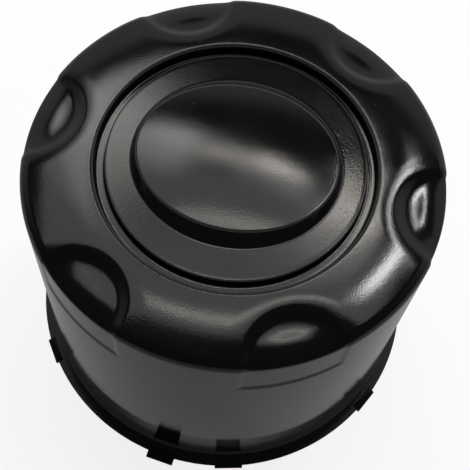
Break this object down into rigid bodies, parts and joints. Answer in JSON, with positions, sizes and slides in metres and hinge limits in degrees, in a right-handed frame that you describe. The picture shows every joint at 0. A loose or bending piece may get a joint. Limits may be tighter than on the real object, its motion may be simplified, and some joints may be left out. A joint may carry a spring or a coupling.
{
  "type": "wheel centre cap",
  "caption": "Deep round wheel centre cap: a hollow gloss black can with a flared, lugged foot, scoops round its crown, a ring groove and a raised blank oval.",
  "frame": {"origin": "centre of the foot's lower rim, on the can's axis", "axes": "+Z out of the wheel through the crown, +X along the raised oval's long axis"},
  "size_m": [0.12, 0.124, 0.0869],
  "materials": {
    "moulded_plastic": "gloss black moulding with a fine ripple"
  },
  "bodies": {
    "root": {"cap": "moulded_plastic"}
  },
  "joints": []
}
